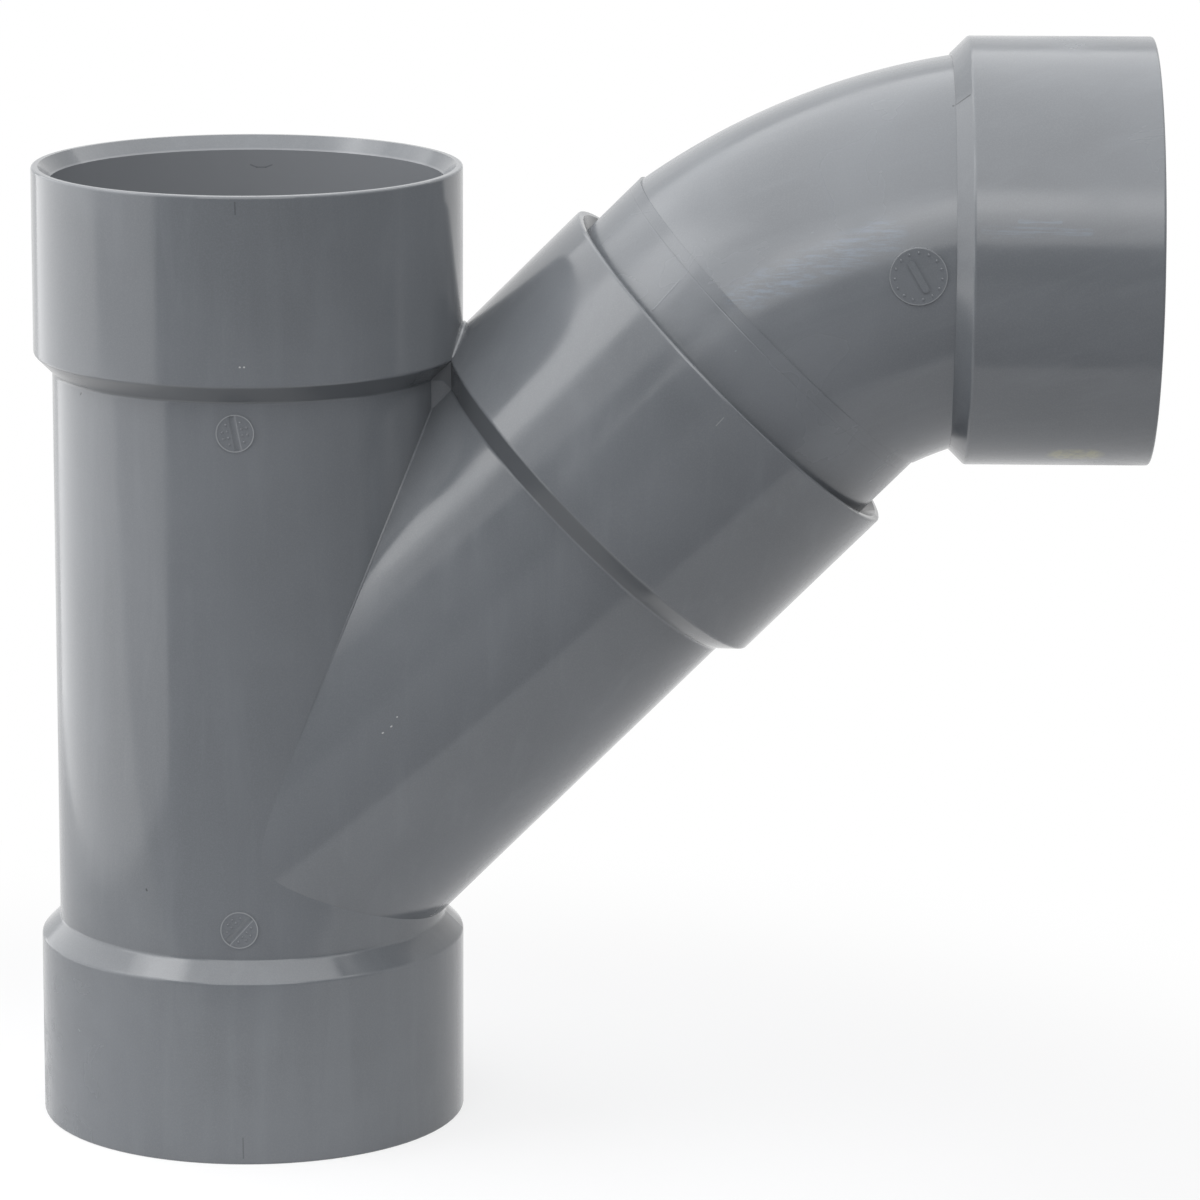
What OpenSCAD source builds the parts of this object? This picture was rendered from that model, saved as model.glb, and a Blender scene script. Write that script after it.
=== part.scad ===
// Combination wye for a 6 in drain: a 45 degree wye with a 45 degree street elbow
// pushed dry into its branch socket, so the branch leaves square to the run.
// Millimetres. The run stands along +Z with the centre of its lower mouth at the
// origin, the branch leans toward +X, and the elbow's outlet points along +X.

/* [Pipe and sockets] */
// Outside diameter of the pipe, the run tube and the elbow's spigot
pipe_od = 168.28; // [164:0.02:172]
// Wall of the run tube, the branch tube and the bend
tube_wall = 7.11; // [6:0.01:8]
// Diameter that a socket is larger than the pipe
socket_fit = 0.55; // [0.3:0.05:1.2]
// Depth of a socket from its mouth to its stop
socket_depth = 76.2; // [70:0.1:84]
// Depth of the lead-in bevel inside a mouth
bevel_depth = 6; // [3:0.5:9]
// Width of the flat lip around a mouth
lip_w = 2.9; // [1.8:0.1:4]
// Rounding of a mouth's outer edge
mouth_edge_r = 1; // [0.4:0.1:1.6]
// Rounding of a hub's shoulder and of the root of its chamfer
shoulder_r = 2; // [0.5:0.1:4]

/* [Wye] */
// Wall of a wye hub around its socket
wye_hub_wall = 7.7; // [6:0.1:9]
// How far a wye hub's straight outside runs past its socket stop
wye_past_stop = 3.8; // [1:0.1:6]
// From the lower socket stop up to the crossing of the axes
lay_short = 48.5; // [46:0.5:60]
// From the crossing of the axes to the upper stop and to the branch stop
lay_long = 216; // [210:0.5:222]
// Angle of the branch from the run
branch_angle = 45; // [43:0.5:46]
// How much slimmer the branch tube is than the run tube
branch_slim = 1.08; // [0.6:0.02:3]

/* [Street elbow] */
// Angle that the elbow turns
elbow_angle = 45; // [43:0.5:47]
// Length of the straight spigot, from its end to the bend
spigot_len = 80; // [77:0.5:90]
// Length of the spigot that stays outside the branch socket
spigot_shown = 28.9; // [16:0.1:60]
// Chamfer on the spigot's end
spigot_chamfer = 1.5; // [0.5:0.1:3]
// From either end of the bend to the crossing of the elbow's axes
bend_reach = 42.4; // [40:0.1:52]
// Centreline radius of the bend
bend_radius = 230; // [180:1:280]
// How much less the bend measures across its inside and outside than the pipe
bend_squeeze = 5.4; // [3:0.1:8]
// How far the bend's front and back stand inside the spigot's
bend_inset = 0.5; // [0.4:0.05:1]
// Wall of the elbow's hub around its socket
elbow_hub_wall = 7; // [6:0.1:9]
// How far the elbow hub's straight outside runs past its socket stop
elbow_past_stop = 2.5; // [1:0.1:6]

/* [Mould marks] */
// Diameter of the round marks on the front of the run
wye_mark_d = 16.2; // [10:0.1:22]
// From the upper chamfer's lower edge down to the upper mark
upper_mark_drop = 12.8; // [11.5:0.1:40]
// From the lower chamfer's upper edge up to the lower mark
lower_mark_lift = 13.6; // [11.5:0.1:20]
// Diameter of the flat round mark on the front of the bend
elbow_mark_d = 24.1; // [16:0.1:28]
// Width of the bar on the elbow's mark and of the grooves in the run's marks
mark_bar_w = 3.1; // [1.5:0.1:4]
// Height of the marks over the surface behind them
mark_rise = 0.3; // [0.2:0.05:0.6]

/* [Hidden] */
$fn = 144;

// Steps in the arcs that round the edges
arc_steps = 3;
// How far a cutter runs past the face that it opens
over = 1;
// How far the bend runs into the solids at its ends
lap = 0.5;

pipe_r = pipe_od / 2;
waterway_r = pipe_r - tube_wall;
socket_r = pipe_r + socket_fit / 2;
round_setback = shoulder_r * tan(22.5);

// Wye
wye_hub_r = socket_r + wye_hub_wall;
wye_hub_len = socket_depth + wye_past_stop;
wye_chamfer = wye_hub_r - pipe_r;
branch_r = pipe_r - branch_slim / 2;
crossing_z = socket_depth + lay_short;
branch_len = lay_long + socket_depth;
run_len = crossing_z + branch_len;

// Elbow, in a frame with its origin where its axes cross and its inlet along +Z
half_elbow = elbow_angle / 2;
elbow_hub_r = socket_r + elbow_hub_wall;
elbow_hub_len = socket_depth + elbow_past_stop;
elbow_outlet = bend_reach + elbow_hub_r - pipe_r + elbow_hub_len;
bend_r = (pipe_od - bend_squeeze) / 2;
bend_side = pipe_r - bend_inset - bend_r;
bend_centre = bend_reach * sin(half_elbow)
    + sqrt(pow(bend_radius, 2) - pow(bend_reach * cos(half_elbow), 2));

// Marks
mark_seat = 5;
groove_depth = 0.5;
groove_r = (pow(mark_bar_w / 2, 2) + pow(groove_depth, 2)) / (2 * groove_depth);
ring_w = 0.6;
upper_mark_z = run_len - wye_hub_len - wye_chamfer - upper_mark_drop;
lower_mark_z = wye_hub_len + wye_chamfer + lower_mark_lift;
upper_groove_angle = 11;
lower_groove_angle = -42;
elbow_mark_along = 26.6;
elbow_mark_up = 2.4;
elbow_bar_len = 15.2;
elbow_bar_angle = 30;

// Points of an arc about [x, y]
function arc(x, y, r, from, to) =
    [for (i = [0:arc_steps])
        let (a = from + (to - from) * i / arc_steps)
        [x + r * cos(a), y + r * sin(a)]];

// The same points taken from the other end, with their height turned over
function flipped(points, height) =
    [for (i = [len(points) - 1:-1:0]) [points[i][0], height - points[i][1]]];

// Outside of a hub from its mouth at height 0 to its shoulder, as [radius, height]
function hub_outline(hub_r, hub_len) =
    concat(arc(hub_r - mouth_edge_r, mouth_edge_r, mouth_edge_r, -90, 0),
           arc(hub_r - shoulder_r, hub_len - round_setback, shoulder_r, 0, 45));

// The rounded root where a hub's 45 degree chamfer meets a tube
function root_outline(hub_r, hub_len, tube_r) =
    arc(tube_r + shoulder_r, hub_len + hub_r - tube_r + round_setback, shoulder_r, 225, 180);

// Inside of a socket from past its mouth at height 0 to its stop
function socket_outline(hub_r) =
    [[0, -over], [hub_r - lip_w, -over], [hub_r - lip_w, 0],
     [socket_r, bevel_depth], [socket_r, socket_depth]];

module turned(points) {
    rotate_extrude() polygon(points);
}

module slot_shape(length, width) {
    offset_y = (length - width) / 2;
    translate([0, offset_y]) circle(width / 2);
    if (offset_y > 0) {
        translate([0, -offset_y]) circle(width / 2);
        translate([-width / 2, -offset_y]) square([width, 2 * offset_y]);
    }
}

// Stands its children's +Z on -Y, so that they face the front
module facing_front() {
    rotate([90, 0, 0]) children();
}

module along_branch() {
    translate([0, 0, crossing_z]) rotate([0, branch_angle, 0]) children();
}

module run_outside() {
    end = concat(hub_outline(wye_hub_r, wye_hub_len),
                 root_outline(wye_hub_r, wye_hub_len, pipe_r));
    turned(concat([[0, 0]], end, flipped(end, run_len), [[0, run_len]]));
}

module branch_outside() {
    end = concat(hub_outline(wye_hub_r, wye_hub_len),
                 root_outline(wye_hub_r, wye_hub_len, branch_r));
    turned(concat([[0, 0], [branch_r, 0]], flipped(end, branch_len), [[0, branch_len]]));
}

module run_bore() {
    end = concat(socket_outline(wye_hub_r), [[waterway_r, socket_depth]]);
    turned(concat(end, flipped(end, run_len)));
}

module branch_bore() {
    bore_r = waterway_r - branch_slim / 2;
    end = concat(socket_outline(wye_hub_r), [[bore_r, socket_depth]]);
    turned(concat([[0, 0], [bore_r, 0]], flipped(end, branch_len)));
}

// A flat disc with a raised rim, standing on the front of the run
module run_mark(z) {
    translate([0, 0, z]) facing_front()
        translate([0, 0, pipe_r - mark_seat])
            cylinder(h = mark_seat + mark_rise, d = wye_mark_d);
}

// What is cut out of such a disc: its hollow face and one groove across it
module run_mark_cut(z, angle) {
    translate([0, 0, z]) facing_front() {
        translate([0, 0, pipe_r + mark_rise / 3])
            cylinder(h = over, d = wye_mark_d - 2 * ring_w);
        rotate([0, 0, angle])
            translate([0, 0, pipe_r + mark_rise / 3 - groove_depth + groove_r])
                rotate([90, 0, 0])
                    cylinder(h = wye_mark_d - 2 * ring_w, r = groove_r, center = true);
    }
}

module wye_body() {
    color([0.47, 0.53, 0.59])
        difference() {
            union() {
                run_outside();
                along_branch() branch_outside();
                run_mark(upper_mark_z);
                run_mark(lower_mark_z);
            }
            run_bore();
            along_branch() branch_bore();
            run_mark_cut(upper_mark_z, upper_groove_angle);
            run_mark_cut(lower_mark_z, lower_groove_angle);
        }
}

// A stretch of the bend's ring between planes square to the inlet and the outlet,
// set reach from the crossing of the axes. Its section is a circle of radius r that
// is pulled out by side at the front and back.
module bend_stretch(r, side, reach) {
    far = 3 * pipe_od;
    corner = [reach / tan(half_elbow), -reach];
    intersection() {
        translate([bend_centre * cos(half_elbow), 0, -bend_centre * sin(half_elbow)])
            facing_front()
                rotate_extrude()
                    translate([bend_radius, 0])
                        slot_shape(2 * (r + side), 2 * r);
        facing_front()
            linear_extrude(height = 2 * pipe_od, center = true)
                polygon([corner,
                         corner + far * [-1, 0],
                         corner + far * [-cos(elbow_angle), sin(elbow_angle)]]);
    }
}

module spigot_outside() {
    end = -bend_reach - spigot_len;
    turned([[0, end], [pipe_r - spigot_chamfer, end], [pipe_r, end + spigot_chamfer],
            [pipe_r, -bend_reach], [0, -bend_reach]]);
}

module outlet_outside() {
    turned(concat([[0, bend_reach], [pipe_r, bend_reach]],
                  flipped(hub_outline(elbow_hub_r, elbow_hub_len), elbow_outlet),
                  [[0, elbow_outlet]]));
}

module spigot_bore() {
    translate([0, 0, -bend_reach - spigot_len - over])
        cylinder(h = spigot_len + over, r = waterway_r);
}

module outlet_bore() {
    end = concat(socket_outline(elbow_hub_r), [[waterway_r, socket_depth]]);
    turned(concat([[0, bend_reach], [waterway_r, bend_reach]], flipped(end, elbow_outlet)));
}

// A flat disc on the front of the bend, with one raised bar across it
module bend_mark() {
    rotate([0, elbow_angle, 0])
        translate([-elbow_mark_up, 0, elbow_mark_along])
            facing_front() {
                translate([0, 0, pipe_r - mark_seat])
                    cylinder(h = mark_seat, d = elbow_mark_d);
                translate([0, 0, pipe_r - mark_seat])
                    rotate([0, 0, 90 + elbow_bar_angle])
                        linear_extrude(height = mark_seat + 2 * mark_rise)
                            slot_shape(elbow_bar_len, mark_bar_w);
            }
}

module street_elbow() {
    color([0.50, 0.56, 0.62])
        translate([0, 0, crossing_z])
            rotate([0, branch_angle, 0])
                translate([0, 0, branch_len + spigot_shown + bend_reach])
                    difference() {
                        union() {
                            spigot_outside();
                            bend_stretch(bend_r, bend_side, bend_reach + lap);
                            rotate([0, elbow_angle, 0]) outlet_outside();
                            bend_mark();
                        }
                        spigot_bore();
                        bend_stretch(bend_r - tube_wall, 0, bend_reach + lap);
                        rotate([0, elbow_angle, 0]) outlet_bore();
                    }
}

wye_body();
street_elbow();
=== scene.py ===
# Looks for the combination wye: two grey plastic mouldings in studio light.
# Metres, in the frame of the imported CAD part.
import math

import bpy
from mathutils import Matrix, Vector


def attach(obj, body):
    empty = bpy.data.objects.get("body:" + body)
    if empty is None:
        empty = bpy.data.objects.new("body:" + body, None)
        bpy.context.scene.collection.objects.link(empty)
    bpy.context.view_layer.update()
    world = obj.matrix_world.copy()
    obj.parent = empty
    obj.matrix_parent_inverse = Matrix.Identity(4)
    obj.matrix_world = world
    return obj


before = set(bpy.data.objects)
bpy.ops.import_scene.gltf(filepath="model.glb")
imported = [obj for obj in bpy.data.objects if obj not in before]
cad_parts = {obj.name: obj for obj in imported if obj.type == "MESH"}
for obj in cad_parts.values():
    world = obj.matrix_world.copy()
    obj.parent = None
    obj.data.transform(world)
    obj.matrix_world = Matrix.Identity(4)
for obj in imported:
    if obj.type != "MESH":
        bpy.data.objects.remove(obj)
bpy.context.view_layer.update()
scene = bpy.context.scene

# Sizes of the CAD part that the small pieces sit on
PIPE_R = 0.08414
BRANCH_R = PIPE_R - 0.00054
SOCKET_EDGE_R = 0.0846
HUB_R = 0.092115
CROSSING_Z = 0.1247
BRANCH = math.radians(45)
HALF_BRANCH = BRANCH / 2
UPPER_MARK_Z = 0.3161
LOWER_MARK_Z = 0.1016
BEND_CROSSING = Vector((0.25703, 0.0, 0.38173))
ELBOW_MARK = BEND_CROSSING + Vector((0.0266, -PIPE_R, 0.0024))
UPPER_GROOVE_ANGLE = math.radians(11)
LOWER_GROOVE_ANGLE = math.radians(-42)
ELBOW_DOTS = 15
ELBOW_DOTS_R = 0.0099
SHADE_ANGLE = math.radians(30)


# Small helper for node trees
class Nodes:
    def __init__(self, tree):
        self.tree = tree

    def add(self, kind, **values):
        node = self.tree.nodes.new(kind)
        for name, value in values.items():
            setattr(node, name, value)
        return node

    def put(self, value, socket):
        if isinstance(value, bpy.types.NodeSocket):
            self.tree.links.new(value, socket)
        else:
            socket.default_value = value

    def math(self, operation, a, b=0.0, c=0.0, clamp=False):
        node = self.add("ShaderNodeMath", operation=operation, use_clamp=clamp)
        for i, value in enumerate((a, b, c)):
            self.put(value, node.inputs[i])
        return node.outputs[0]

    def vector(self, operation, a, b=(0.0, 0.0, 0.0)):
        node = self.add("ShaderNodeVectorMath", operation=operation)
        self.put(a, node.inputs[0])
        self.put(b, node.inputs[1])
        return node

    def noise(self, place, scale, detail=2.0, rough=0.5, warp=0.0):
        node = self.add("ShaderNodeTexNoise")
        self.put(place, node.inputs["Vector"])
        node.inputs["Scale"].default_value = scale
        node.inputs["Detail"].default_value = detail
        node.inputs["Roughness"].default_value = rough
        node.inputs["Distortion"].default_value = warp
        return node.outputs["Fac"]

    def ramp(self, value, low, high, out_low=0.0, out_high=1.0):
        node = self.add("ShaderNodeMapRange", interpolation_type="SMOOTHSTEP")
        self.put(value, node.inputs["Value"])
        node.inputs["From Min"].default_value = low
        node.inputs["From Max"].default_value = high
        node.inputs["To Min"].default_value = out_low
        node.inputs["To Max"].default_value = out_high
        return node.outputs["Result"]

    def stretched(self, place, turn, scale):
        node = self.add("ShaderNodeMapping", vector_type="TEXTURE")
        self.put(place, node.inputs["Vector"])
        node.inputs["Rotation"].default_value = turn
        node.inputs["Scale"].default_value = scale
        return node.outputs["Vector"]

    def mix(self, factor, a, b):
        node = self.add("ShaderNodeMix", data_type="RGBA")
        self.put(factor, node.inputs["Factor"])
        self.put(a, node.inputs["A"])
        self.put(b, node.inputs["B"])
        return node.outputs["Result"]

    # 1 on the line from a to b, fading to 0 at the given width
    def streak(self, place, a, b, width, soft=0.4):
        a = Vector(a)
        b = Vector(b)
        along = b - a
        start = self.vector("SUBTRACT", place, tuple(a)).outputs[0]
        dot = self.vector("DOT_PRODUCT", start, tuple(along)).outputs["Value"]
        share = self.math("DIVIDE", dot, max(along.length_squared, 1e-12), clamp=True)
        node = self.add("ShaderNodeVectorMath", operation="SCALE")
        node.inputs[0].default_value = tuple(along)
        self.put(share, node.inputs["Scale"])
        gap = self.vector("SUBTRACT", start, node.outputs[0]).outputs[0]
        far = self.vector("LENGTH", gap).outputs["Value"]
        return self.ramp(far, width * soft, width, 1.0, 0.0)


    # 1 on a turned band round an axis, between two places along it and inside a radius
    def band(self, place, foot, axis, low, high, radius):
        start = self.vector("SUBTRACT", place, foot).outputs[0]
        along = self.vector("DOT_PRODUCT", start, axis).outputs["Value"]
        out = self.vector("LENGTH", self.vector("CROSS_PRODUCT", start, axis).outputs[0]).outputs["Value"]
        mask = self.math("MULTIPLY", self.ramp(along, low - 0.0004, low + 0.0004),
                         self.ramp(along, high - 0.0004, high + 0.0004, 1.0, 0.0))
        return self.math("MULTIPLY", mask, self.ramp(out, radius, radius + 0.0006, 1.0, 0.0))


def plastic(name, colour, tilt, scuffs, marks, rings, rims, painted_shade_bands, painted_light_inside):
    """Grey moulded plastic. tilt turns the flow streaks, scuffs is how worn it is."""
    material = bpy.data.materials.new(name)
    material.use_nodes = True
    tree = material.node_tree
    tree.nodes.clear()
    n = Nodes(tree)
    place = n.add("ShaderNodeTexCoord").outputs["Object"]
    broad = n.noise(place, 7.0, 3.0, 0.55, 0.6)
    flow = n.noise(n.stretched(place, (0.0, tilt, 0.0), (0.5, 0.5, 4.0)), 38.0, 4.0, 0.6, 0.4)
    patches = n.ramp(n.noise(place, 21.0, 3.0, 0.5, 0.5), 0.4, 0.8)
    grain = n.noise(place, 1700.0, 2.0, 0.6)
    fine = n.noise(place, 420.0, 3.0, 0.6)

    pale = [min(1.0, c * 1.22 + 0.012) for c in colour[:3]] + [1.0]
    deep = [c * 0.86 for c in colour[:3]] + [1.0]
    tone = n.mix(n.ramp(broad, 0.3, 0.7), deep, colour)
    tone = n.mix(n.math("MULTIPLY", n.ramp(flow, 0.45, 0.75), 0.22), tone, pale)
    tone = n.mix(n.math("MULTIPLY", n.ramp(grain, 0.35, 0.75), 0.26), tone, pale)
    tone = n.mix(n.math("MULTIPLY", patches, 0.12 * scuffs), tone, pale)

    rough = n.ramp(broad, 0.25, 0.75, 0.01 + 0.08 * scuffs, 0.03 + 0.12 * scuffs)
    rough = n.math("ADD", rough, n.math("MULTIPLY", patches, 0.10 * scuffs))
    rough = n.math("ADD", rough, n.math("MULTIPLY", n.ramp(flow, 0.5, 0.8), 0.05))
    height = n.math("MULTIPLY", fine, 0.35)
    height = n.math("ADD", height, n.math("MULTIPLY", grain, 0.22))
    height = n.math("ADD", height, n.math("MULTIPLY", flow, 0.5))

    if painted_light_inside:
        # The inside of the upper socket is paler, a tint taken to match the photo
        # The paler tone is painted light inside the socket.
        flat = n.vector("MULTIPLY", place, (1.0, 1.0, 0.0)).outputs[0]
        height_z = n.vector("DOT_PRODUCT", place, (0.0, 0.0, 1.0)).outputs["Value"]
        reach = n.vector("LENGTH", flat).outputs["Value"]
        mask = n.ramp(reach, SOCKET_EDGE_R, SOCKET_EDGE_R + 0.0006, 1.0, 0.0)
        mask = n.math("MULTIPLY", mask, n.ramp(height_z, 0.3385, 0.3405))
        tone = n.mix(n.math("MULTIPLY", mask, 0.8), tone, painted_light_inside)
        # Noisy patches on the left of the lower hub are duller and darker: partly handling smudges,
        # partly painted shade for the dark reflections there
        side_x = n.vector("DOT_PRODUCT", place, (1.0, 0.0, 0.0)).outputs["Value"]
        mask = n.math("MULTIPLY", n.ramp(side_x, -0.075, -0.038, 1.0, 0.0),
                      n.ramp(height_z, 0.068, 0.082, 1.0, 0.0))
        mask = n.math("MULTIPLY", mask, n.ramp(n.noise(place, 34.0, 4.0, 0.6, 1.4), 0.44, 0.6))
        tone = n.mix(n.math("MULTIPLY", mask, 0.3), tone, deep)
        rough = n.math("ADD", rough, n.math("MULTIPLY", mask, 0.16))

    # Two chamfers are darker than the faces beside them, a tint taken to match the photo
    # The darker tone is painted shade on these down-facing chamfers.
    for foot, axis, low, high, radius in painted_shade_bands:
        mask = n.band(place, foot, axis, low, high, radius)
        tone = n.mix(mask, tone, [c * 0.68 for c in colour[:3]] + [1.0])

    for a, b, width, kind in marks:
        mask = n.streak(place, a, b, width)
        if kind == "pale":
            tone = n.mix(n.math("MULTIPLY", mask, 0.75), tone, (0.5, 0.5, 0.5, 1.0))
            height = n.math("SUBTRACT", height, n.math("MULTIPLY", mask, 2.0))
        elif kind == "faint":
            tone = n.mix(n.math("MULTIPLY", mask, 0.3), tone, (0.4, 0.4, 0.4, 1.0))
            height = n.math("SUBTRACT", height, n.math("MULTIPLY", mask, 0.7))
        elif kind == "shade":
            tone = n.mix(n.math("MULTIPLY", mask, 0.35), tone, (0.02, 0.021, 0.023, 1.0))
            height = n.math("SUBTRACT", height, n.math("MULTIPLY", mask, 0.7))
        elif kind == "smear_and_sheen":
            # Bluish paler streaks: partly glue smears, partly painted sheen where the elbow reflects the
            # light.
            torn = n.noise(n.stretched(place, (0.0, 0.0, 0.0), (14.0, 1.0, 1.0)), 620.0, 5.0, 0.7)
            mask = n.math("MULTIPLY", mask, n.ramp(torn, 0.42, 0.66))
            tone = n.mix(n.math("MULTIPLY", mask, 0.4), tone, (0.20, 0.25, 0.32, 1.0))
        elif kind == "dark":
            tone = n.mix(n.math("MULTIPLY", mask, 0.7), tone, (0.02, 0.021, 0.023, 1.0))
            height = n.math("SUBTRACT", height, n.math("MULTIPLY", mask, 2.0))
        elif kind == "ridge":
            height = n.math("ADD", height, n.math("MULTIPLY", mask, 2.2))
            tone = n.mix(n.math("MULTIPLY", mask, 0.22), tone, pale)
        elif kind == "residue":
            mask = n.math("MULTIPLY", mask, n.ramp(n.noise(place, 260.0, 3.0, 0.6), 0.35, 0.6, 0.35, 1.0))
            tone = n.mix(n.math("MULTIPLY", mask, 0.7), tone, (0.33, 0.32, 0.17, 1.0))

    # Raised rims of the round marks catch the light
    for centre, radius, width in rims:
        reach = n.vector("DISTANCE", place, centre).outputs["Value"]
        far = n.math("ABSOLUTE", n.math("SUBTRACT", reach, radius))
        mask = n.ramp(far, width * 0.4, width, 1.0, 0.0)
        tone = n.mix(n.math("MULTIPLY", mask, 0.45), tone, (0.34, 0.35, 0.36, 1.0))

    # Witness lines run all round, square to an axis
    for axis, reach, width in rings:
        along = n.vector("DOT_PRODUCT", place, axis).outputs["Value"]
        far = n.math("ABSOLUTE", n.math("SUBTRACT", along, reach))
        mask = n.ramp(far, width * 0.4, width, 1.0, 0.0)
        height = n.math("SUBTRACT", height, n.math("MULTIPLY", mask, 1.6))
        tone = n.mix(n.math("MULTIPLY", mask, 0.3), tone, deep)

    bump = n.add("ShaderNodeBump")
    bump.inputs["Strength"].default_value = 0.5
    bump.inputs["Distance"].default_value = 0.00006
    n.put(height, bump.inputs["Height"])
    shader = n.add("ShaderNodeBsdfPrincipled")
    shader.inputs["IOR"].default_value = 1.53
    n.put(tone, shader.inputs["Base Color"])
    n.put(rough, shader.inputs["Roughness"])
    n.put(bump.outputs["Normal"], shader.inputs["Normal"])
    out = n.add("ShaderNodeOutputMaterial")
    n.put(shader.outputs[0], out.inputs["Surface"])
    return material


def mesh_piece(name, verts, faces, material):
    mesh = bpy.data.meshes.new(name)
    mesh.from_pydata([tuple(v) for v in verts], [], faces)
    mesh.validate()
    mesh.update()
    piece = bpy.data.objects.new(name, mesh)
    scene.collection.objects.link(piece)
    mesh.materials.append(material)
    mesh.shade_smooth()
    mesh.set_sharp_from_angle(angle=SHADE_ANGLE)
    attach(piece, "root")


# Plastic of the two mouldings. A mark is its start, its end, its half width and its kind.
WYE_MARKS = [
    ((-0.0675, -0.0503, 0.326), (-0.0672, -0.0507, 0.3266), 0.0006, "dark"),
    ((-0.040, -0.0741, 0.116), (-0.0402, -0.074, 0.1165), 0.0006, "dark"),
    ((0.0672, -0.0835, 0.1950), (0.0673, -0.0835, 0.1951), 0.0004, "pale"),
    ((0.0646, -0.0835, 0.1908), (0.0650, -0.0835, 0.1911), 0.0004, "pale"),
    ((0.0610, -0.0835, 0.1880), (0.0614, -0.0835, 0.1882), 0.0004, "pale"),
    ((0.2004, -0.0921, 0.3224), (0.2034, -0.0921, 0.3257), 0.0003, "faint"),
    ((-0.0045, 0.0843, 0.4042), (-0.0018, 0.0844, 0.4031), 0.0004, "shade"),
    ((-0.0018, 0.0844, 0.4031), (0.0022, 0.0844, 0.4031), 0.0004, "shade"),
    ((0.0022, 0.0844, 0.4031), (0.0049, 0.0843, 0.4042), 0.0004, "shade"),
    # The next two marks are the grooves in the round marks; their near-black tone is painted shade in the
    # grooves.
    ((-0.0013, -0.0843, 0.3228), (0.0013, -0.0843, 0.3095), 0.0006, "dark"),
    ((-0.0046, -0.0843, 0.0967), (0.0046, -0.0843, 0.1065), 0.0006, "dark"),
    ((0.0018, -0.0905, 0.4169), (0.0120, -0.0900, 0.4169), 0.0007, "faint"),
    ((0.0780, -0.0450, 0.4169), (0.0792, -0.0446, 0.4169), 0.0009, "faint"),
    ((0.0015, -0.0921, 0.4096), (0.0014, -0.0921, 0.4146), 0.0004, "shade"),
    ((0.0015, -0.0921, 0.0030), (0.0014, -0.0921, 0.0120), 0.0004, "shade"),
    ((0.0028, -0.0920, 0.3456), (0.0029, -0.0920, 0.3456), 0.0005, "pale"),
    ((0.0046, -0.0920, 0.3456), (0.0047, -0.0920, 0.3456), 0.0005, "pale"),
]
ELBOW_MARKS = [
    ((0.2983, -0.0478, 0.4503), (0.3051, -0.0514, 0.4554), 0.0006, "dark"),
    ((0.1519, -0.0299, 0.3878), (0.1641, -0.0289, 0.4005), 0.0006, "ridge"),
    ((0.1641, -0.0289, 0.4005), (0.1726, -0.0376, 0.4037), 0.0006, "ridge"),
    ((0.1738, -0.0689, 0.3668), (0.1850, -0.0681, 0.3794), 0.0005, "ridge"),
    ((0.3475, -0.0440, 0.3018), (0.3580, -0.0440, 0.3018), 0.0085, "residue"),
    # These streaks are partly glue smears and partly painted sheen on the elbow hub and bend.
    ((0.3105, -0.0885, 0.4045), (0.3537, -0.0886, 0.4040), 0.0022, "smear_and_sheen"),
    ((0.3250, -0.0876, 0.4079), (0.3414, -0.0876, 0.4079), 0.0014, "smear_and_sheen"),
    ((0.3140, -0.0893, 0.4010), (0.3300, -0.0893, 0.4014), 0.0012, "smear_and_sheen"),
    ((0.2100, -0.0830, 0.3760), (0.2700, -0.0800, 0.4000), 0.0110, "smear_and_sheen"),
]
# Rims of the round marks, as centre, radius and half width
WYE_RIMS = [
    ((0.0, -PIPE_R - 0.0003, UPPER_MARK_Z), 0.0078, 0.0004),
    ((0.0, -PIPE_R - 0.0003, LOWER_MARK_Z), 0.0078, 0.0004),
]
ELBOW_RIMS = [(tuple(ELBOW_MARK), 0.0119, 0.0003)]
BRANCH_AXIS = (math.sin(BRANCH), 0.0, math.cos(BRANCH))
CROSSING = (0.0, 0.0, CROSSING_Z)
# Chamfers with painted shade, as foot, axis, start and end along it, and the radius that they stay inside
WYE_PAINTED_SHADE_BANDS = [
    ((0.0, 0.0, 0.0), (0.0, 0.0, 1.0), 0.3286, 0.3368, 0.0925),
    (CROSSING, BRANCH_AXIS, 0.2039, 0.2121, 0.0925),
]
# The mould's end on the spigot, measured along the branch from the origin's height
ELBOW_RINGS = [(BRANCH_AXIS, 0.3157 + CROSSING_Z * math.cos(BRANCH), 0.0004)]
wye_plastic = plastic("wye_plastic", (0.138, 0.147, 0.159, 1.0), 0.0, 1.0, WYE_MARKS, [],
                      WYE_RIMS, WYE_PAINTED_SHADE_BANDS, (0.196, 0.204, 0.216, 1.0))
elbow_plastic = plastic("elbow_plastic", (0.146, 0.156, 0.169, 1.0), math.radians(70), 1.5,
                        ELBOW_MARKS, ELBOW_RINGS, ELBOW_RIMS, [], None)
for node, material in (("wye_body", wye_plastic), ("street_elbow", elbow_plastic)):
    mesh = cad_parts[node].data
    mesh.materials.clear()
    mesh.materials.append(material)


# The line that halves the branch angle, in the V between the two upper hubs
NOTCH_UP = Vector((math.sin(HALF_BRANCH), 0.0, math.cos(HALF_BRANCH)))
NOTCH_ACROSS = Vector((math.cos(HALF_BRANCH), 0.0, -math.sin(HALF_BRANCH)))
NOTCH_FOOT = Vector((0.0, 0.0, CROSSING_Z))


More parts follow.
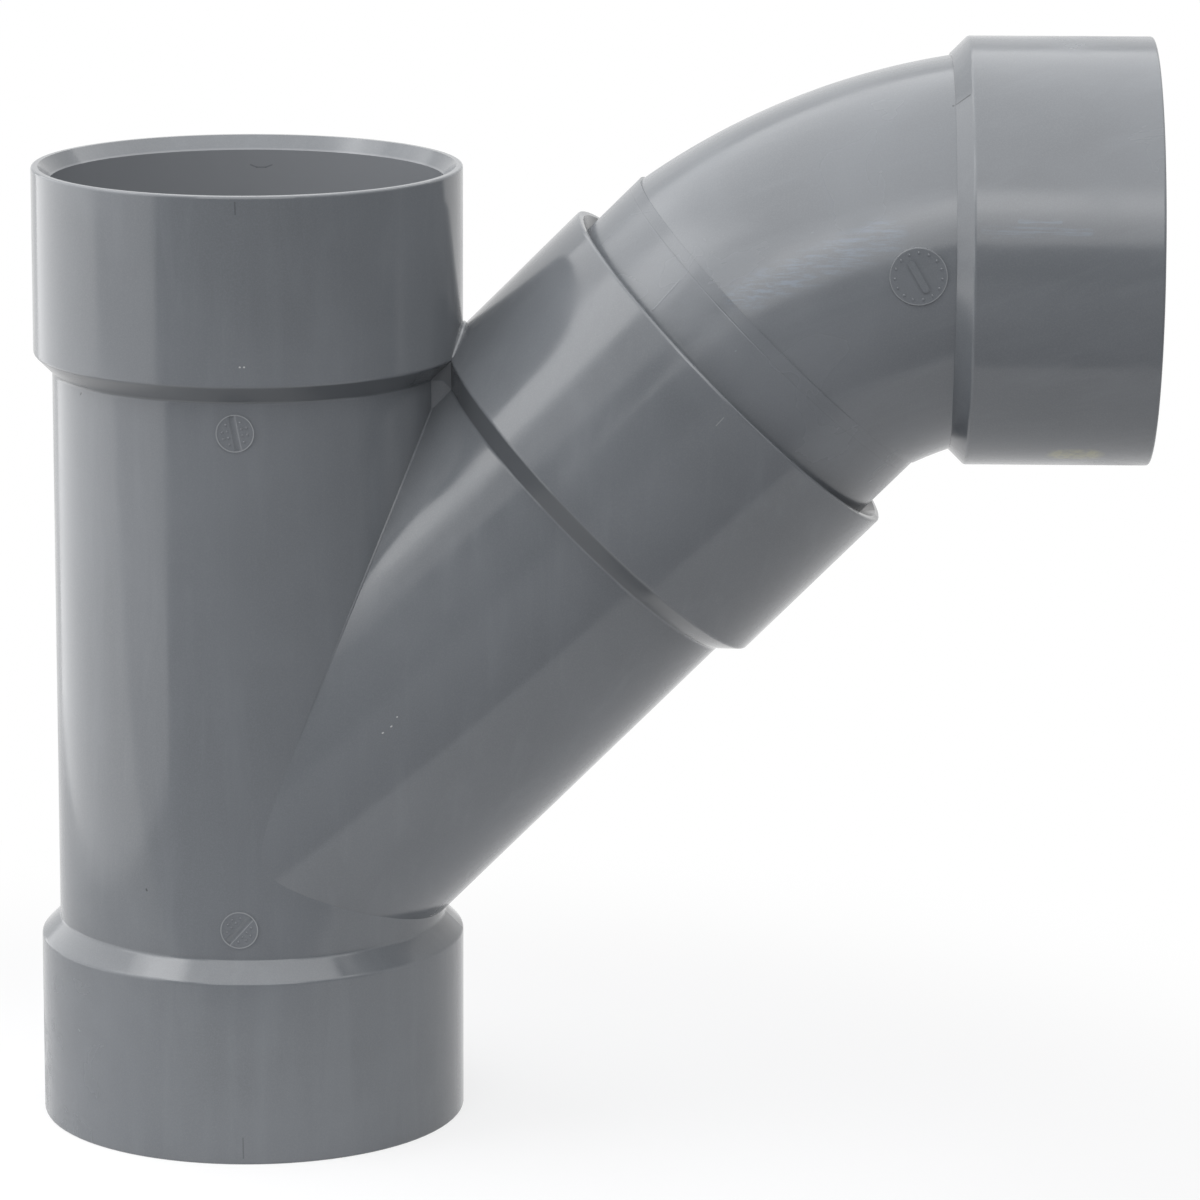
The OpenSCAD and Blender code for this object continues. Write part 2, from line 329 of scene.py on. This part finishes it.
# Flat filling between the chamfers of the two upper hubs
def notch_filling():
    half_deep = 0.0273
    section = ((0.0, 0.2296), (-0.0053, 0.2195), (-0.0003, 0.2069), (0.0003, 0.2069), (0.0053, 0.2195))
    verts = []
    for y in (-half_deep, half_deep):
        for w, t in section:
            verts.append(NOTCH_FOOT + NOTCH_UP * t + NOTCH_ACROSS * w + Vector((0, y, 0)))
    faces = [(0, 1, 2, 3, 4), (9, 8, 7, 6, 5)]
    for k in range(5):
        k2 = (k + 1) % 5
        faces.append((k, k + 5, k2 + 5, k2))
    mesh_piece("notch_filling", verts, faces, wye_plastic)


# Thin web that stands on the filling
def notch_web():
    half = 0.0011
    rows = 49
    verts = []
    faces = []
    for i in range(rows):
        y = -0.026 + 0.052 * i / (rows - 1)
        top = 0.20814 + math.sqrt(0.03493 ** 2 - y * y)
        low = math.sqrt(HUB_R ** 2 - y * y) / math.sin(HALF_BRANCH) - 0.002
        section = [(-half, low)]
        for k in range(7):
            a = math.pi * (1 - k / 6)
            section.append((half * math.cos(a), top - half + half * math.sin(a)))
        section.append((half, low))
        for w, t in section:
            verts.append(NOTCH_FOOT + NOTCH_UP * t + NOTCH_ACROSS * w + Vector((0, y, 0)))
    count = 9
    for i in range(rows - 1):
        for k in range(count):
            a = i * count + k
            b = i * count + (k + 1) % count
            faces.append((a, a + count, b + count, b))
    faces.append(tuple(range(count)))
    faces.append(tuple((rows - 1) * count + k for k in reversed(range(count))))
    mesh_piece("notch_web", verts, faces, wye_plastic)


# Small bead along the front crease between the run and the branch
def crease_bead():
    front_y = -0.0272
    deep = 0.0538
    steps = 44
    sides = 8
    bead_r = 0.00055
    path = []
    for i in range(steps + 1):
        y = front_y - deep * i / steps
        x = math.sqrt(PIPE_R ** 2 - y * y)
        path.append(Vector((x, y, CROSSING_Z + x + math.sqrt(2 * (BRANCH_R ** 2 - y * y)))))
    verts = []
    faces = []
    for i, place in enumerate(path):
        ahead = (path[min(i + 1, steps)] - path[max(i - 1, 0)]).normalized()
        out = Vector((0.0, -1.0, 0.0))
        out = (out - ahead * out.dot(ahead)).normalized()
        over = ahead.cross(out)
        size = bead_r * min(1.0, (steps - i) / 12 + 0.15)
        for k in range(sides):
            a = 2 * math.pi * k / sides
            verts.append(place + out * size * math.cos(a) + over * size * math.sin(a))
    for i in range(steps):
        for k in range(sides):
            a = i * sides + k
            b = i * sides + (k + 1) % sides
            faces.append((a, b, b + sides, a + sides))
    faces.append(tuple(reversed(range(sides))))
    faces.append(tuple(steps * sides + k for k in range(sides)))
    mesh_piece("crease_bead", verts, faces, wye_plastic)


# Round dots that stand a little out of a surface that faces the front
def dots(name, places, radius, rise, material):
    verts = []
    faces = []
    for place in places:
        start = len(verts)
        for ring, (r, h) in enumerate(((1.0, -0.0006), (0.92, 0.55 * rise), (0.55, rise))):
            for k in range(10):
                a = 2 * math.pi * k / 10
                verts.append(place + Vector((r * radius * math.cos(a), -h, r * radius * math.sin(a))))
        for ring in range(2):
            for k in range(10):
                a = start + ring * 10 + k
                b = start + ring * 10 + (k + 1) % 10
                faces.append((a, b, b + 10, a + 10))
        faces.append(tuple(start + 20 + k for k in range(10)))
    mesh_piece(name, verts, faces, material)


def groove_dots(z, angle):
    places = []
    for side in (-1, 1):
        for up in (-0.0042, -0.0014, 0.0014, 0.0042):
            for out in (0.0031, 0.0051):
                if abs(up) > 0.003 and out > 0.004:
                    continue
                x = side * out
                places.append(Vector((x * math.cos(angle) - up * math.sin(angle), -PIPE_R - 0.0001,
                                      z + x * math.sin(angle) + up * math.cos(angle))))
    return places


notch_filling()
notch_web()
crease_bead()
run_dots = groove_dots(UPPER_MARK_Z, UPPER_GROOVE_ANGLE) + groove_dots(LOWER_MARK_Z, LOWER_GROOVE_ANGLE)
dots("run_mark_dots", run_dots, 0.00055, 0.00032, wye_plastic)
elbow_dots = []
for i in range(ELBOW_DOTS):
    a = math.radians(90 + 360 * i / ELBOW_DOTS)
    elbow_dots.append(ELBOW_MARK + ELBOW_DOTS_R * Vector((math.cos(a), 0.0, math.sin(a))))
dots("elbow_mark_dots", elbow_dots, 0.00065, 0.00025, elbow_plastic)


# Floor
SHEET_FRONT_Y = -0.32


def floor_material():
    material = bpy.data.materials.new("floor_white")
    material.use_nodes = True
    tree = material.node_tree
    tree.nodes.clear()
    n = Nodes(tree)
    path = n.add("ShaderNodeLightPath").outputs
    # The sheet under the part is white, and the floor round it is darker. Its front
    # edge shows in the part as the line where a pale reflection ends.
    place = n.add("ShaderNodeTexCoord").outputs["Object"]
    reach = n.vector("DISTANCE", place, (0.05, -0.12, 0.0)).outputs["Value"]
    far = n.ramp(reach, 0.14, 0.62)
    depth = n.vector("DOT_PRODUCT", place, (0.0, 1.0, 0.0)).outputs["Value"]
    sheet = n.ramp(depth, SHEET_FRONT_Y - 0.012, SHEET_FRONT_Y + 0.012)
    white = n.mix(far, (0.83, 0.83, 0.84, 1.0), (0.28, 0.28, 0.29, 1.0))
    diffuse = n.add("ShaderNodeBsdfDiffuse")
    n.put(n.mix(sheet, (0.30, 0.30, 0.31, 1.0), white), diffuse.inputs["Color"])
    glow = n.add("ShaderNodeEmission")
    glow.inputs["Color"].default_value = (1.0, 1.0, 1.0, 1.0)
    glow.inputs["Strength"].default_value = 1.0
    share = n.ramp(far, 0.0, 1.0, 0.74, 1.0)
    direct = n.math("MAXIMUM", path["Is Camera Ray"], path["Is Transmission Ray"])
    dimmer = n.math("MULTIPLY", sheet, n.math("SUBTRACT", 1.0, share))
    direct = n.math("MULTIPLY", direct, n.math("SUBTRACT", 1.0, dimmer))
    mirrored = n.math("MULTIPLY", path["Is Glossy Ray"], n.math("MULTIPLY", sheet, share))
    blend = n.add("ShaderNodeMixShader")
    n.put(n.math("ADD", direct, mirrored, clamp=True), blend.inputs[0])
    n.put(diffuse.outputs[0], blend.inputs[1])
    n.put(glow.outputs[0], blend.inputs[2])
    out = n.add("ShaderNodeOutputMaterial")
    n.put(blend.outputs[0], out.inputs["Surface"])
    return material


bpy.ops.mesh.primitive_plane_add(size=24, location=(0.0, 0.0, 0.0))
floor = bpy.context.object
floor.name = "floor"
floor.data.materials.append(floor_material())

# Dark wall behind the camera, hidden from the camera's own rays
bpy.ops.mesh.primitive_plane_add(size=1, location=(0.2, -3.3, 0.9),
                                 rotation=(math.radians(-90), 0.0, 0.0))
wall = bpy.context.object
wall.name = "dark_wall"
wall.scale = (7.0, 1.8, 1.0)
wall.visible_camera = False
wall_grey = bpy.data.materials.new("wall_grey")
wall_grey.use_nodes = True
wall_shader = wall_grey.node_tree.nodes["Principled BSDF"]
wall_shader.inputs["Base Color"].default_value = (0.12, 0.12, 0.12, 1.0)
wall_shader.inputs["Roughness"].default_value = 0.9
wall.data.materials.append(wall_grey)

# World
world = bpy.data.worlds.new("studio")
scene.world = world
world.use_nodes = True
world.node_tree.nodes.clear()
w = Nodes(world.node_tree)
path = w.add("ShaderNodeLightPath").outputs
soft = w.add("ShaderNodeBackground")
soft.inputs["Color"].default_value = (0.93, 0.96, 1.0, 1.0)
soft.inputs["Strength"].default_value = 0.35
white = w.add("ShaderNodeBackground")
white.inputs["Color"].default_value = (1.0, 1.0, 1.0, 1.0)
white.inputs["Strength"].default_value = 1.0
blend = w.add("ShaderNodeMixShader")
seen = w.math("MAXIMUM", path["Is Camera Ray"], path["Is Glossy Ray"])
w.put(w.math("MAXIMUM", seen, path["Is Transmission Ray"]), blend.inputs[0])
w.put(soft.outputs[0], blend.inputs[1])
w.put(white.outputs[0], blend.inputs[2])
out = w.add("ShaderNodeOutputWorld")
w.put(blend.outputs[0], out.inputs["Surface"])


# Softboxes
def softbox(name, place, target, width, height, radiance):
    data = bpy.data.lights.new(name, "AREA")
    data.shape = "RECTANGLE"
    data.size = width
    data.size_y = height
    # A flat lamp of area A and radiance L gives pi * A * L watts
    data.energy = math.pi * width * height * radiance
    lamp = bpy.data.objects.new(name, data)
    lamp.location = place
    lamp.rotation_euler = (Vector(target) - Vector(place)).to_track_quat("-Z", "Y").to_euler()
    lamp.visible_camera = False
    scene.collection.objects.link(lamp)


softbox("left_box", (-0.50, 0.05, 0.62), (0.0, 0.05, 0.62), 1.17, 1.24, 1.15)
softbox("upper_left_box", (-0.95, -0.35, 1.25), (0.15, -0.05, 0.3), 0.8, 0.8, 1.9)
softbox("top_box", (0.15, -0.30, 1.5), (0.15, -0.299, 0.0), 2.4, 3.4, 1.45)
softbox("front_box", (0.2, -2.9, 1.8), (0.15, 0.0, 0.25), 3.0, 1.6, 2.1)

# Camera
CAMERA_PLACE = Vector((0.183869, -2.565221, 0.795724))
yaw = math.radians(-0.726)
pitch = math.radians(-12.487)
roll = math.radians(0.251)
forward = Vector((math.sin(yaw) * math.cos(pitch), math.cos(yaw) * math.cos(pitch), math.sin(pitch)))
right = Vector((math.cos(yaw), -math.sin(yaw), 0.0))
up = right.cross(forward)
side = right * math.cos(roll) + up * math.sin(roll)
top = up * math.cos(roll) - right * math.sin(roll)
camera_data = bpy.data.cameras.new("camera")
camera_data.sensor_width = 36.0
camera_data.lens = 36.0 * 6068.67 / 1200.0
camera = bpy.data.objects.new("camera", camera_data)
scene.collection.objects.link(camera)
turn = Matrix((side, top, -forward)).transposed().to_4x4()
camera.matrix_world = Matrix.Translation(CAMERA_PLACE) @ turn
scene.camera = camera
scene.view_settings.view_transform = "Standard"
